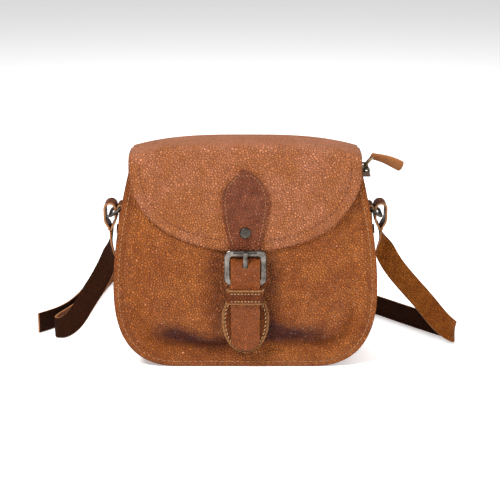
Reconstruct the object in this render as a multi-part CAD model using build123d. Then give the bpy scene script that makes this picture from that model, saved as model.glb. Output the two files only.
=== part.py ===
from build123d import *
import os
from math import atan2, degrees, hypot, radians, tan

# Small leather sling bag. +Z is up, the front faces -Y, and the origin is on the
# table, at the middle of the bag's base. Sizes are in millimetres.

# ---- driving dimensions ---------------------------------------------------
LEATHER = 2.0            # body leather
HALF_WIDTH = 115.0       # half the body's width, at its belly
BELLY_Z = 68.0
BASE_FLAT = 60.0         # half of the straight stretch of the base
PANEL_TOP = 176.0
TOP_HALF = 103.0         # half the body's width at its top
PANEL_Y = 35.0           # outer face of the front and back panels
SEAM = 5.0               # seam allowance, turned outward
GUSSET_TOP = 165.5

FLAP_TOP = 200.0
FLAP_HALF = 102.5
FLAP_FRONT = 42.0        # the flap's outer face, in front of the bag
FLAP_HINGE = (37.4, 187.85)
FLAP_DROP = 106.0        # height of the flap's lowest point
SEWN_STRIP = (148.0, 187.5)  # the heights between which the flap is sewn to the back panel

STRAP_WIDTH = 19.5       # shoulder strap
STRAP_THICK = 2.0
CLOSURE_HALF = 12.4      # half of the closure strap's width
PRONG_SLOT = 2.4         # half of the width of the prong's hole
PRONG_HOLE = (80.5, 97.0)  # the heights of that hole's ends
TAB_THICK = 1.5

RING_WIRE = 1.5          # radius
RING_BAR = (109.2, 137.0)
RING_OUT = (118.8, 131.0)
RING_LONG = 26.0
RING_TAB_WIDTH = 19.0
LOOP_RADIUS = 5.75       # outside of the strap's loop round the ring

ZIP_Z = 169.2            # middle height of the zip's teeth
ZIP_HALF = 98.0
TOOTH_PITCH = 2.6

SLIDER_X = 103.0

os.makedirs("parts", exist_ok=True)


# ---- helpers --------------------------------------------------------------
def facing_front(face, y_back, thickness):
    """A flat shape drawn as (x, z), made into a plate from y_back towards the front."""
    return Pos(0, y_back, 0) * (Plane.XZ * extrude(face, thickness))


def along_x(face, x_low, x_high):
    """A section drawn as (y, z), carried along X."""
    return Pos(x_low, 0, 0) * (Plane.YZ * extrude(face, x_high - x_low))


def block(low, high):
    """A box between two corners."""
    size = [b - a for a, b in zip(low, high)]
    middle = [(a + b) / 2 for a, b in zip(low, high)]
    return Pos(*middle) * Box(*size)


def rod(start, end, radius):
    """A round bar from one point to another."""
    start, end = Vector(*start), Vector(*end)
    along = end - start
    return Plane(start, z_dir=along) * Cylinder(
        radius, along.length, align=(Align.CENTER, Align.CENTER, Align.MIN)
    )


def mirrored(solid):
    """The same piece on the bag's other side."""
    return mirror(solid, about=Plane.YZ)


def joined(curves):
    """Curves laid end to end, as one wire."""
    return Wire([edge for curve in curves for edge in curve.edges()])


def closed_face(curves):
    return make_face(joined(curves))


def both_sides(edges):
    """Edges of a right half, joined to their mirror image."""
    return list(edges) + [mirror(e, about=Plane.YZ) for e in edges]



def save(name, shape):
    shape.label = name
    export_step(shape, f"parts/{name}.step")


def stitches(curve, first, last, pitch, size):
    """Stitches laid end to end along part of a curve, drawn flat."""
    run = curve.length * (last - first)
    count = max(2, int(run / pitch))
    laid = []
    for k in range(count):
        u = first + (last - first) * (k + 0.5) / count
        p, t = curve @ u, curve % u
        turn = degrees(atan2(t.Y, t.X))
        laid.append(Pos(p.X, p.Y, size[2] / 2) * Rot(0, 0, turn) * Box(*size))
    return laid


def on_front(laid, y_back):
    """Flat stitches, moved on to a face that looks to the front."""
    return Compound(children=[Pos(0, y_back, 0) * (Plane.XZ * s) for s in laid])


def on_back(laid, y_front):
    """Flat stitches, moved on to a face that looks to the back."""
    turned = [Rot(0, 0, 180) * (Plane.XZ * s) for s in laid]
    return Compound(children=[Pos(0, y_front, 0) * s for s in turned])


# ---- body -----------------------------------------------------------------
def body_edges(inset, top):
    """The body's right half, from the middle of the base to the middle of the top."""
    w = HALF_WIDTH - inset
    t = TOP_HALF - inset
    base = Line((0, inset), (BASE_FLAT, inset))
    corner = Bezier(
        (BASE_FLAT, inset), (96 - 0.5 * inset, inset), (w, 23 + 0.5 * inset), (w, BELLY_Z)
    )
    side = Bezier((w, BELLY_Z), (w, 112), (t + 4, 160), (t, top))
    lid = Line((t, top), (0, top))
    return base, corner, side, lid


def body_face(inset, top=PANEL_TOP):
    return closed_face(both_sides(body_edges(inset, top)))


def seam_curve(inset):
    """The seam round both sides and the base, as one open curve."""
    base, corner, side, _ = body_edges(inset, PANEL_TOP)
    right = [base, corner, side]
    return joined([mirror(e, about=Plane.YZ) for e in reversed(right)] + right)


def make_panels():
    panel = body_face(0)
    front = facing_front(panel, -PANEL_Y + LEATHER, LEATHER)
    back = facing_front(panel, PANEL_Y, LEATHER)
    return front, back


def make_gusset():
    """A U-shaped strip with both of its edges turned outward as seam flanges."""
    inner = PANEL_Y - LEATHER
    hollow = body_face(SEAM + LEATHER, PANEL_TOP + 1)
    strip = body_face(SEAM, PANEL_TOP) - hollow
    flange = body_face(0, PANEL_TOP) - hollow
    gusset = facing_front(strip, inner, 2 * inner)
    gusset += facing_front(flange, -inner + LEATHER, LEATHER)
    gusset += facing_front(flange, inner, LEATHER)
    gusset -= block((-130, -50, GUSSET_TOP), (130, 50, 200))
    return gusset


def make_lining():
    """A thin cloth liner, open at its top, against the leather's inner faces."""
    inner = PANEL_Y - LEATHER
    cloth = 0.5
    gap = 1.4
    outer = body_face(SEAM + LEATHER + gap, GUSSET_TOP - 1)
    hollow = body_face(SEAM + LEATHER + gap + cloth, GUSSET_TOP + 2)
    liner = facing_front(outer, inner - 0.1, 2 * (inner - 0.1))
    liner -= facing_front(hollow, inner - 0.1 - cloth, 2 * (inner - 0.1 - cloth))
    face = inner - 0.1 - cloth
    pocket = block((-62, face - 0.6, 55), (62, face, 138))
    return liner, pocket


def make_top():
    """Two leather strips over the bag's mouth, with the zip between them."""
    strip = block((-ZIP_HALF - 1, -PANEL_Y + LEATHER, ZIP_Z + 0.3), (ZIP_HALF + 1, -9, ZIP_Z + 2.3))
    tape = block((-ZIP_HALF, -22, ZIP_Z - 0.5), (ZIP_HALF + 10, -3.3, ZIP_Z + 0.2))
    pitch_count = int((2 * ZIP_HALF + 4) / TOOTH_PITCH)
    teeth = []
    for k in range(pitch_count):
        x = -ZIP_HALF + 2 + k * TOOTH_PITCH
        teeth.append(block((x, -3.2, ZIP_Z - 1.3), (x + 1.3, -0.5, ZIP_Z + 1.3)))
    front_teeth = Compound(children=teeth)
    back_teeth = Compound(
        children=[Pos(TOOTH_PITCH / 2, 0, 0) * mirror(t, about=Plane.XZ) for t in teeth]
    )
    stops = []
    for x in (-ZIP_HALF - 0.9, ZIP_HALF + 9.0):
        stops.append(block((x, -3.2, ZIP_Z - 1.6), (x + 1.8, 3.2, ZIP_Z + 1.6)))
    return (
        strip,
        mirror(strip, about=Plane.XZ),
        tape,
        mirror(tape, about=Plane.XZ),
        front_teeth,
        back_teeth,
        Compound(children=stops),
    )


def make_slider():
    """The zip's slider: two plates, a thin web between the rows, and a bridge."""
    x0, x1 = SLIDER_X - 5.5, SLIDER_X + 5.0
    top = block((x0, -5.2, ZIP_Z + 1.6), (x1, 5.2, ZIP_Z + 2.9))
    under = block((x0, -5.2, ZIP_Z - 2.9), (x1, 5.2, ZIP_Z - 1.6))
    web = block((x0 + 3, -0.35, ZIP_Z - 1.6), (x1 - 3, 0.35, ZIP_Z + 1.6))
    plates = top + under
    plates = fillet(plates.edges().filter_by(Axis.Z), 2.0)
    bridge = block((x0 + 2, -1.2, ZIP_Z + 2.9), (x1 - 0.7, 1.2, ZIP_Z + 7.6))
    bridge -= block((x0 + 3.9, -2, ZIP_Z + 2.9), (x1 - 2.4, 2, ZIP_Z + 6.1))
    return plates + web + bridge


LINK_PIVOT = (104.3, 0.0, ZIP_Z + 4.7)
LINK_END = (111.6, 0.0, 182.2)


def wire_loop(start, end, width, radius, corner):
    """A loop of round wire: two bars along Y, through start and end, joined by sides."""
    a, b = Vector(*start), Vector(*end)
    y = Vector(0, width / 2, 0)
    path = FilletPolyline(a - y, b - y, b + y, a + y, radius=corner, close=True)
    at = Plane(origin=(a + b) * 0.5 - y, z_dir=(b - a))
    return sweep(at * Circle(radius), path=path)


def make_pull():
    """A wire link through the slider's bridge, and the leather tab folded round it."""
    link = wire_loop(LINK_PIVOT, LINK_END, 7.0, 0.9, 2.0)
    start, end = Vector(110.2, 0.6, 182.6), Vector(142.0, -10.0, 177.0)
    along = end - start
    near = Plane(start, x_dir=(0.1, 1, 0), z_dir=along)
    far = Plane(end, x_dir=(0.1, 1, 0.55), z_dir=along)
    tab = loft([near * Rectangle(5.6, 4.4), far * Rectangle(11.0, 4.0)], ruled=True)
    return link, tab


# ---- flap -----------------------------------------------------------------
def flap_outline():
    """The flap's front view: straight at its sides, then one curved lower edge."""
    side = Line((FLAP_HALF, 220), (FLAP_HALF, 185))
    curve = Bezier((FLAP_HALF, 185), (94, 148), (62, 112), (0, FLAP_DROP))
    top = Line((0, 220), (FLAP_HALF, 220))
    return closed_face(both_sides([top, side, curve]))


def flap_edge(inset):
    """The curved lower edge, moved inward, as one open curve."""
    h = FLAP_HALF - inset
    right = Bezier((h, 188), (94 - inset, 150), (62 - inset, 112 + inset), (0, FLAP_DROP + inset))
    return joined([right, mirror(right, about=Plane.YZ)])


def make_flap():
    """The moving flap, over the top and down the front, and its sewn back strip."""
    front, top, back = -FLAP_FRONT, FLAP_TOP, PANEL_Y + 2.2
    middle = FilletPolyline(
        (back - 1, FLAP_HINGE[1] + 0.15),
        (back - 1, top - 1),
        (front + 1, top - 1),
        (front + 1, FLAP_DROP - 4),
        radius=9.5,
    )
    section = trace(middle, LEATHER)
    flap = along_x(section, -FLAP_HALF, FLAP_HALF)
    flap &= facing_front(flap_outline(), 60, 120)
    low, high = SEWN_STRIP
    strip = Polyline((back - 2, low), (back, low), (back, high), (back - 2, high), close=True)
    sewn = along_x(closed_face(strip.edges()), -FLAP_HALF + 4, FLAP_HALF - 4)
    return flap, sewn


def patch_edges(inset):
    """The leaf-shaped patch's right half, from its tip to the flap's lower edge."""
    upper = Bezier((0, 180 - 1.6 * inset), (8 - inset, 172 - inset), (19.8 - inset, 163), (19.8 - inset, 149))
    lower = Bezier((19.8 - inset, 149), (19.8 - inset, 135), (13.5 - inset, 125), (12.4 - inset, 107.4))
    return upper, lower


def make_patch():
    upper, lower = patch_edges(0)
    foot = Line((12.4, 107.4), (0, 107.4))
    face = closed_face(both_sides([upper, lower, foot]))
    return facing_front(face, -FLAP_FRONT, 1.8)


def make_flap_rivet():
    """A domed rivet through the patch and the flap, and its washer inside the flap."""
    z = 124.5
    cap = Pos(0, -FLAP_FRONT - 1.8, z) * Rot(90, 0, 0) * Cylinder(
        4.85, 1.8, align=(Align.CENTER, Align.CENTER, Align.MIN)
    )
    cap = fillet(cap.edges().sort_by(Axis.Y)[0], 1.4)
    post = rod((0, -FLAP_FRONT - 1.8, z), (0, -FLAP_FRONT + LEATHER + 0.6, z), 1.4)
    washer = rod((0, -FLAP_FRONT + LEATHER, z), (0, -FLAP_FRONT + LEATHER + 0.8, z), 4.0)
    washer -= rod((0, -FLAP_FRONT, z), (0, -FLAP_FRONT + 5, z), 1.4)
    return cap + post, washer


# ---- closure --------------------------------------------------------------
HINGE_BAR = (-45.1, 81.0)
ROLLER_BAR = (-47.1, 107.0)
TAB_BACK = -42.0


def make_closure_strap():
    """The strap that hangs from the flap, behind the roller and over the hinge bar."""
    middle = FilletPolyline(
        (-43.0, 106.7),
        (-43.0, 102.5),
        (-49.3, 91.0),
        (-49.3, 58.0),
        (-44.7, 47.0),
        (-44.7, 18.0),
        radius=(1.5, 5.0, 12.0, 12.0),
    )
    strap = along_x(trace(middle, 1.8), -CLOSURE_HALF, CLOSURE_HALF)
    round_z = 18.6 + CLOSURE_HALF
    end = Pos(0, round_z) * Circle(CLOSURE_HALF)
    end += Pos(0, (round_z + 120) / 2) * Rectangle(2 * CLOSURE_HALF, 120 - round_z)
    strap &= facing_front(end, -30, 30)
    low, high = PRONG_HOLE
    strap -= block((-PRONG_SLOT, -56, low), (PRONG_SLOT, -40, high))
    return strap


def tab_edges(inset):
    """The base tab's right half: a pear shape that narrows into the buckle."""
    low = Bezier((0, 15.6 + inset), (12 - inset, 15.6 + inset), (20.7 - inset, 30), (20.7 - inset, 46))
    high = Bezier((20.7 - inset, 46), (20.7 - inset, 58), (14 - inset, 66), (12.2 - inset, 76))
    return low, high


def make_base_tab():
    """Two layers of leather folded round the buckle's hinge bar."""
    by, bz = HINGE_BAR
    low, high = tab_edges(0)
    neck = Polyline((12.2, 76), (12.2, bz), (0, bz))
    face = closed_face(both_sides([low, high] + list(neck.edges())))
    tab = facing_front(face, TAB_BACK, TAB_THICK)
    fold = Pos(by, bz) * Circle(3.1) - Pos(by, bz) * Circle(3.1 - TAB_THICK)
    fold -= Pos(by, bz - 5) * Rectangle(10, 10)
    layer = Pos(by - 3.1 + TAB_THICK / 2, (bz + 62) / 2) * Rectangle(TAB_THICK, bz - 62)
    tab += along_x(fold, -12.2, 12.2)
    tab += along_x(layer, -12.2, 12.2)
    tab -= block((-2.5, -52, 76), (2.5, -40, 90))
    return tab


def make_keeper():
    outer = Pos(0, -48.4) * RectangleRounded(32.6, 7.2, 1.9)
    inner = Pos(0, -48.4) * RectangleRounded(29.4, 3.9, 0.8)
    return Pos(0, 0, 62.4) * extrude(outer - inner, 12.6)


def make_buckle():
    """A roller buckle: its frame, the roller on its top bar, and its prong."""
    hy, hz = HINGE_BAR
    ry, rz = ROLLER_BAR
    ring = Pos(0, 94.3) * RectangleRounded(36.2, 31.6, 6.0)
    ring -= Pos(0, 94.0) * RectangleRounded(25.6, 20.6, 2.0)
    frame = facing_front(ring, -44.5, 4.0)
    frame = fillet(frame.edges().filter_by(GeomType.LINE).filter_by(Axis.Z), 1.4)
    frame -= block((-10.0, -52, 103), (10.0, -42, 112))
    frame -= block((-12.8, -52, 77), (12.8, -42, 86))
    frame += rod((-13.5, hy, hz), (13.5, hy, hz), 1.4)
    frame += rod((-10.6, ry, rz), (10.6, ry, rz), 1.5)
    roller = rod((-9.7, ry, rz), (9.7, ry, rz), 3.0) - rod((-12, ry, rz), (12, ry, rz), 1.56)
    arm = FilletPolyline((-46.9, 83.4), (-51.0, 101.5), (-51.75, 109.2), radius=14.0)
    prong = along_x(trace(arm, 2.6), -1.7, 1.7)
    prong += rod((-1.9, hy, hz), (1.9, hy, hz), 2.9)
    prong -= rod((-4, hy, hz), (4, hy, hz), 1.46)
    return frame, roller, prong


def make_snap():
    """A magnetic snap: the socket on the front panel, the stud behind the tab."""
    z = 44.0
    socket = rod((0, -PANEL_Y, z), (0, -PANEL_Y - 4.0, z), 7.5)
    socket -= rod((0, -PANEL_Y - 2.6, z), (0, -PANEL_Y - 5, z), 3.2)
    stud = rod((0, TAB_BACK, z), (0, TAB_BACK + 2.7, z), 7.0)
    stud += rod((0, TAB_BACK + 2.7, z), (0, TAB_BACK + 3.9, z), 2.8)
    return socket, stud


# ---- ring tabs and rings --------------------------------------------------
def make_ring_tab():
    """A leather tab, folded round the ring's bar and riveted to the gusset."""
    bx, bz = RING_BAR
    legs = closed_face(
        Polyline((bx - 1.9, bz - 3.2), (bx + 1.6, bz - 3.2), (113.2, 99), (109.6, 99), close=True).edges()
    )
    eye = Pos(bx, bz) * Circle(3.7)
    eye -= Pos(bx, bz) * Circle(1.9)
    tab = Pos(0, RING_TAB_WIDTH / 2, 0) * (Plane.XZ * extrude(legs + eye, RING_TAB_WIDTH))
    rivet = rod((104.8, 0, 116), (112.9, 0, 116.6), 1.5)
    rivet += rod((112.0, 0, 116.55), (113.9, 0, 116.7), 4.2)
    rivet += rod((104.6, 0, 115.95), (105.4, 0, 116), 3.4)
    return tab, rivet


def make_ring():
    start = (RING_BAR[0], 0, RING_BAR[1])
    end = (RING_OUT[0], 0, RING_OUT[1])
    return wire_loop(start, end, RING_LONG, RING_WIRE, 3.4)


# ---- shoulder strap -------------------------------------------------------
# Each route runs along the middle of the strap, which stands on its edge where it
# lies on the table. z is 10 there, and 14 beside the adjusting buckle.
BUCKLE_Y = 245.7
HINGE_X = -90.0
FRONT_BAR_X = -70.0
BUCKLE_Z = 13.95
LIFT = 4.2               # the strap's lower edge above the table, beside the buckle

LONG_ROUTE = [
    (118.8, 0, 117), (119.6, 0.6, 105), (129.6, 4, 84), (144.3, 8.4, 65), (162.4, 13.6, 44),
    (179, 18.5, 22), (192.5, 23.5, 10.5), (191.5, 35, 10), (174, 53.5, 10), (150.5, 80.5, 10),
    (128, 108, 10), (107, 129, 10), (72, 138, 10), (28, 141.5, 10), (-20, 141, 10),
    (-66, 137.5, 10), (-96, 138, 10), (-107, 146, 10), (-106, 159, 10), (-93, 166, 10),
    (-50, 168.5, 10), (0, 166.5, 10), (48, 167, 10), (84, 170, 10), (98, 178, 10),
    (97, 192, 10), (82, 200, 10), (44, 202.5, 10), (6, 207, 10), (-24, 224, 12),
    (-50, 240, 14), (-71, 241.9, 14), (-83.5, 251.1, 14), (-112, 251.3, 14), (-134, 246.5, 13),
    (-146, 224, 11), (-151, 194, 10), (-156, 163, 10), (-161, 131, 10), (-166.5, 103, 10),
    (-173.5, 81.5, 10), (-183, 66, 10), (-194.6, 54, 10),
]
SHORT_ROUTE = [
    (-118.8, 0, 117), (-118.6, 1.5, 105), (-121, 6, 88), (-131, 13, 66), (-144, 20, 45),
    (-156, 27, 23), (-168, 33.5, 12), (-178, 40.5, 10), (-176.5, 52, 10), (-168, 72, 10),
    (-160, 98, 10), (-154.5, 129, 10), (-149, 161, 10), (-144.5, 192, 10), (-138.5, 219, 11),
    (-122, 240, 13), (-108, 243.1, 14), (-87.5, 243.1, 14),
]


def arc_radii(points):
    """As large an arc at each corner as its two runs allow."""
    radii = []
    for a, b, c in zip(points, points[1:], points[2:]):
        u, v = Vector(*b) - Vector(*a), Vector(*c) - Vector(*b)
        half_turn = radians(u.get_angle(v)) / 2
        radii.append(0.45 * min(u.length, v.length) / tan(half_turn))
    return radii


def table_band(points, low):
    """The strap standing on its edge along a plan route."""
    flat = [(x, y) for x, y, _ in points]
    path = FilletPolyline(*flat, radius=arc_radii([(x, y, 0) for x, y in flat]))
    return Pos(0, 0, low) * extrude(trace(path, STRAP_THICK), STRAP_WIDTH)


def hanging_band(points):
    """The stretch from the ring to the table: an upright plate, narrow where it twists."""
    start, end = Vector(*points[0]), Vector(*points[-1])
    across = Vector(end.X - start.X, end.Y - start.Y, 0)
    side = Plane(origin=(start.X, start.Y, 0), x_dir=across, z_dir=across.cross(Vector(0, 0, 1)))
    half = STRAP_WIDTH / 2
    middle = [(hypot(x - start.X, y - start.Y), z) for x, y, z in points]
    upper, lower = [], []
    for k, (s, z) in enumerate(middle):
        a, b = middle[max(k - 1, 0)], middle[min(k + 1, len(middle) - 1)]
        run = hypot(b[0] - a[0], b[1] - a[1])
        n = ((a[1] - b[1]) / run, (b[0] - a[0]) / run)
        if k == 0:
            n = (1.0, 0.0)
        if k == len(middle) - 1:
            n = (0.0, 1.0)
        seen = half * min(1.0, 0.2 + 0.35 * k)
        upper.append((s + seen * n[0], z + seen * n[1]))
        lower.append((s - seen * n[0], z - seen * n[1]))
    outline = closed_face(Polyline(*upper, *reversed(lower), close=True).edges())
    plate = extrude(outline, STRAP_THICK / 2, both=True)
    return side * plate


def make_loop():
    """The strap's end, turned back round the ring and sewn to itself."""
    x, top = RING_OUT[0], 136.85
    legs, foot = 124.0, 117.2
    start = legs + 0.2
    thick = STRAP_THICK

    def outline(radius):
        return Pos(x, top) * Circle(radius) + Pos(x, (top + legs) / 2) * Rectangle(2 * radius, top - legs)

    outer = outline(LOOP_RADIUS)
    funnel = Polyline(
        (x - LOOP_RADIUS, start), (x + LOOP_RADIUS, start), (x + thick, foot), (x - thick, foot), close=True
    )
    outer += closed_face(funnel.edges())
    bore = LOOP_RADIUS - thick
    inner = outline(bore)
    inner += closed_face(Polyline((x - bore, start), (x + bore, start), (x, foot + 3.4), close=True).edges())
    return Pos(0, STRAP_WIDTH / 2, 0) * (Plane.XZ * extrude(outer - inner, STRAP_WIDTH))


def make_straps():
    """The long strap, with its free tail, and the short strap that holds the buckle."""
    slot_y = (BUCKLE_Y - 8, BUCKLE_Y + 8)
    touch = (186.0, 20.6, 10.0)
    long_strap = hanging_band([(118.8, 0, 116.9)] + LONG_ROUTE[1:6] + [touch])
    long_strap += table_band([touch] + LONG_ROUTE[6:30], 0.0)
    long_strap += table_band(LONG_ROUTE[29:36], LIFT)
    long_strap += table_band(LONG_ROUTE[35:], 0.0)
    long_strap -= block((-86, slot_y[0], BUCKLE_Z - 2.4), (-73.5, slot_y[1], BUCKLE_Z + 2.4))

    touch = (-162.0, 29.9, 10.0)
    short_strap = hanging_band([(-118.8, 0, 116.9)] + SHORT_ROUTE[1:6] + [touch])
    short_strap += table_band([touch] + SHORT_ROUTE[6:15], 0.0)
    flat = [(x, y) for x, y, _ in SHORT_ROUTE[13:]]
    turned = [(-87.5, BUCKLE_Y + 2.6), (-108.5, BUCKLE_Y + 2.6)]
    fold = FilletPolyline(*flat, *turned, radius=(60, 16, 25, 2.55, 2.55))
    short_strap += Pos(0, 0, LIFT) * extrude(trace(fold, 1.8), STRAP_WIDTH)
    short_strap -= block((-94, slot_y[0], BUCKLE_Z - 2.6), (-86, slot_y[1], BUCKLE_Z + 2.6))
    return long_strap, short_strap


def make_strap_buckle():
    """The adjusting buckle, its prong, and the keeper loop for the strap's tail."""
    x0, x1 = HINGE_X - 2.5, FRONT_BAR_X + 2.5
    y, z = BUCKLE_Y, BUCKLE_Z
    frame = block((x0, y - 1.5, z - 13.9), (x1, y + 1.5, z - 10.3))
    frame += block((x0, y - 1.5, z + 10.3), (x1, y + 1.5, z + 13.9))
    frame = fillet(frame.edges().filter_by(Axis.Y), 1.2)
    frame += rod((HINGE_X, y, z - 11), (HINGE_X, y, z + 11), 1.4)
    frame += rod((FRONT_BAR_X, y, z - 11), (FRONT_BAR_X, y, z + 11), 1.5)
    arm = FilletPolyline((HINGE_X + 1.8, y + 1.4), (-76, y + 2.6), (FRONT_BAR_X + 2.4, y + 2.9), radius=20)
    prong = Pos(0, 0, z - 1.7) * extrude(trace(arm, 2.2), 3.4)
    prong += rod((HINGE_X, y, z - 1.9), (HINGE_X, y, z + 1.9), 2.5)
    prong -= rod((HINGE_X, y, z - 4), (HINGE_X, y, z + 4), 1.46)
    ring = Pos(y + 0.9, z) * RectangleRounded(14.6, 24.4, 2.2)
    ring -= Pos(y + 0.9, z) * RectangleRounded(11.4, 20.9, 0.8)
    keeper = along_x(ring, -108, -98)
    return frame, prong, keeper


# ---- build ----------------------------------------------------------------
front_panel, back_panel = make_panels()
save("front_panel", front_panel)
save("back_panel", back_panel)
save("gusset", make_gusset())
lining, slip_pocket = make_lining()
save("lining", lining)
save("slip_pocket", slip_pocket)

seam = seam_curve(4.5)
STITCH = (3.1, 0.8, 0.5)
STITCH_PITCH = 4.6
save("front_seam_thread", on_front(stitches(seam, 0.02, 0.98, STITCH_PITCH, STITCH), -PANEL_Y))
save("back_seam_thread", on_back(stitches(seam, 0.02, 0.98, STITCH_PITCH, STITCH), PANEL_Y))

top_nodes = (
    "top_strip_front", "top_strip_back", "zip_tape_front", "zip_tape_back",
    "zip_teeth_front", "zip_teeth_back", "zip_stops",
)
for name, solid in zip(top_nodes, make_top()):
    save(name, solid)
save("zip_slider", make_slider())
zip_link, zip_pull_tab = make_pull()
save("zip_link", zip_link)
save("zip_pull_tab", zip_pull_tab)

flap, flap_back_strip = make_flap()
save("flap", flap)
save("flap_back_strip", flap_back_strip)
edge_line = flap_edge(9)
edge_stitches = stitches(edge_line, 0.03, 0.445, STITCH_PITCH, STITCH)
edge_stitches += stitches(edge_line, 0.555, 0.97, STITCH_PITCH, STITCH)
save("flap_thread", on_front(edge_stitches, -FLAP_FRONT))
save("leaf_patch", make_patch())
upper, lower = patch_edges(3.0)
patch_line = joined([upper, lower])
patch_side = stitches(patch_line, 0.06, 0.93, 4.2, STITCH)
patch_side += [mirror(s, about=Plane.YZ) for s in patch_side]
save("patch_thread", on_front(patch_side, -FLAP_FRONT - 1.8))
flap_rivet, rivet_washer = make_flap_rivet()
save("flap_rivet", flap_rivet)
save("rivet_washer", rivet_washer)

save("closure_strap", make_closure_strap())
save("base_tab", make_base_tab())
save("keeper_loop", make_keeper())
buckle_frame, buckle_roller, buckle_prong = make_buckle()
save("buckle_frame", buckle_frame)
save("buckle_roller", buckle_roller)
save("buckle_prong", buckle_prong)
snap_socket, snap_stud = make_snap()
save("snap_socket", snap_socket)
save("snap_stud", snap_stud)
low, high = tab_edges(2.8)
tab_side = stitches(joined([low, high]), 0.34, 0.80, 4.2, STITCH)
tab_side += [mirror(s, about=Plane.YZ) for s in tab_side]
save("tab_thread", on_front(tab_side, TAB_BACK - TAB_THICK))
rows = []
for z in (64.4, 73.0):
    rows += stitches(Line((-14, z), (14, z)), 0.0, 1.0, 4.0, (2.6, 0.8, 0.5))
save("keeper_thread", on_front(rows, -52.0))

ring_tab, ring_rivet = make_ring_tab()
ring = make_ring()
loop = make_loop()
for side, place in (("right", lambda s: s), ("left", mirrored)):
    save(f"ring_tab_{side}", place(ring_tab))
    save(f"ring_rivet_{side}", place(ring_rivet))
    save(f"ring_{side}", place(ring))
    save(f"strap_loop_{side}", place(loop))

long_strap, short_strap = make_straps()
save("long_strap", long_strap)
save("short_strap", short_strap)
strap_buckle, strap_prong, strap_keeper = make_strap_buckle()
save("strap_buckle_frame", strap_buckle)
save("strap_buckle_prong", strap_prong)
save("strap_keeper", strap_keeper)
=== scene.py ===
import bpy
import numpy as np
from math import pi, radians
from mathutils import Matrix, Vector


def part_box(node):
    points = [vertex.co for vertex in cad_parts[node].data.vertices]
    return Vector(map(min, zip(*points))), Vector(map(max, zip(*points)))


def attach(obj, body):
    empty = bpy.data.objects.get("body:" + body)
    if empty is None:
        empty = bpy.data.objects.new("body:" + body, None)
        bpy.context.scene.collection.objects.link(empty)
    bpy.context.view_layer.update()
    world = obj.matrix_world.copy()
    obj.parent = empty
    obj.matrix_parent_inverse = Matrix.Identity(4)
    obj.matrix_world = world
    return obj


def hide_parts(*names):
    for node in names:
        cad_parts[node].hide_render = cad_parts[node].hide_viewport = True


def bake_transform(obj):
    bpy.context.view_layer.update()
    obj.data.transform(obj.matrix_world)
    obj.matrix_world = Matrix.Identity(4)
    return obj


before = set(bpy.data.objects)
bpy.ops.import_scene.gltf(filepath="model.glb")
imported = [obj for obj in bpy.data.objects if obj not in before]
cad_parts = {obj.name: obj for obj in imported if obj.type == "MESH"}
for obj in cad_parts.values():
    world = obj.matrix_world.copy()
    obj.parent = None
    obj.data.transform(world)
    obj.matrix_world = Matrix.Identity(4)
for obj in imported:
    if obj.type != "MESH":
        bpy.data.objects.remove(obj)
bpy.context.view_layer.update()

bl_info = {
    "name": "Sling bag",
    "version": (1, 0, 0),
    "blender": (4, 5, 0),
    "location": "3D view > Sidebar > Sling bag",
    "description": "Makes the leather, thread and straps of a small saddle-style sling bag",
    "category": "Object",
}

MM = 0.001


def node_box(name):
    """Lowest and highest corner of a CAD node, in millimetres."""
    low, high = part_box(name)
    return np.array(low) / MM, np.array(high) / MM


PANEL_LOW, PANEL_HIGH = node_box("front_panel")
BACK_HIGH = node_box("back_panel")[1]
FLAP_LOW, FLAP_HIGH = node_box("flap")
HALF_WIDTH, PANEL_TOP = PANEL_HIGH[0], PANEL_HIGH[2]
FRONT_Y, BACK_Y = PANEL_LOW[1], BACK_HIGH[1]
GUSSET_TOP = node_box("gusset")[1][2]
TOP_HALF = 99.5        # half width at the mouth
BASE_FLAT = 60.0       # half of the base's flat stretch
BELLY_Z = 68.0         # height of the widest place
SEAM_INSET = 4.5       # from a panel's edge to its stitches
LINING_TOP = 164.0
RING_X = 118.8         # middle of a ring and of the strap that hangs from it
DROOP_HALF = 103.0     # half width over which the flap droops
FLAP_HALF, FLAP_TOP = FLAP_HIGH[0] - 3.3, FLAP_HIGH[2]
FLAP_FRONT, FLAP_DROP = FLAP_LOW[1], FLAP_LOW[2]
FLAP_BACK = 37.2
STRAP_WIDTH, STRAP_THICK = 19.5, 2.2
PANEL_THICK, LOOP_THICK, TAB_THICK = 1.9, 1.9, 1.4  # the leathers
CLOTH_THICK = 0.4
EDGE_ROUND = 0.35      # rounding of a cut edge
BEND_POINTS = 14       # points in each rounded corner of a path
STITCH_SINK, STITCH_RISE = 0.35, 0.12  # of the thread's thickness

# the shoulder strap's two stretches, in millimetres on the table's frame
LONG_ROUTE = [
    (118.8, 0, 117), (119.6, 0.6, 105), (129.6, 4, 84), (144.3, 8.4, 65), (162.4, 13.6, 44),
    (179, 18.5, 22), (192.5, 23.5, 10.5), (191.5, 35, 10), (174, 53.5, 10), (150.5, 80.5, 10),
    (128, 108, 10), (107, 129, 10), (72, 138, 10), (28, 141.5, 10), (-20, 141, 10),
    (-66, 137.5, 10), (-96, 138, 10), (-107, 146, 10), (-106, 159, 10), (-93, 166, 10),
    (-50, 168.5, 10), (0, 166.5, 10), (48, 167, 10), (84, 170, 10), (98, 178, 10),
    (97, 192, 10), (82, 200, 10), (44, 202.5, 10), (6, 207, 10), (-24, 224, 12),
    (-50, 240, 14), (-71, 241.9, 14), (-83.5, 251.1, 14), (-112, 251.3, 14), (-134, 246.5, 13),
    (-146, 224, 11), (-151, 194, 10), (-156, 163, 10), (-161, 131, 10), (-166.5, 103, 10),
    (-173.5, 81.5, 10), (-183, 66, 10), (-194.6, 54, 10),
]
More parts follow.
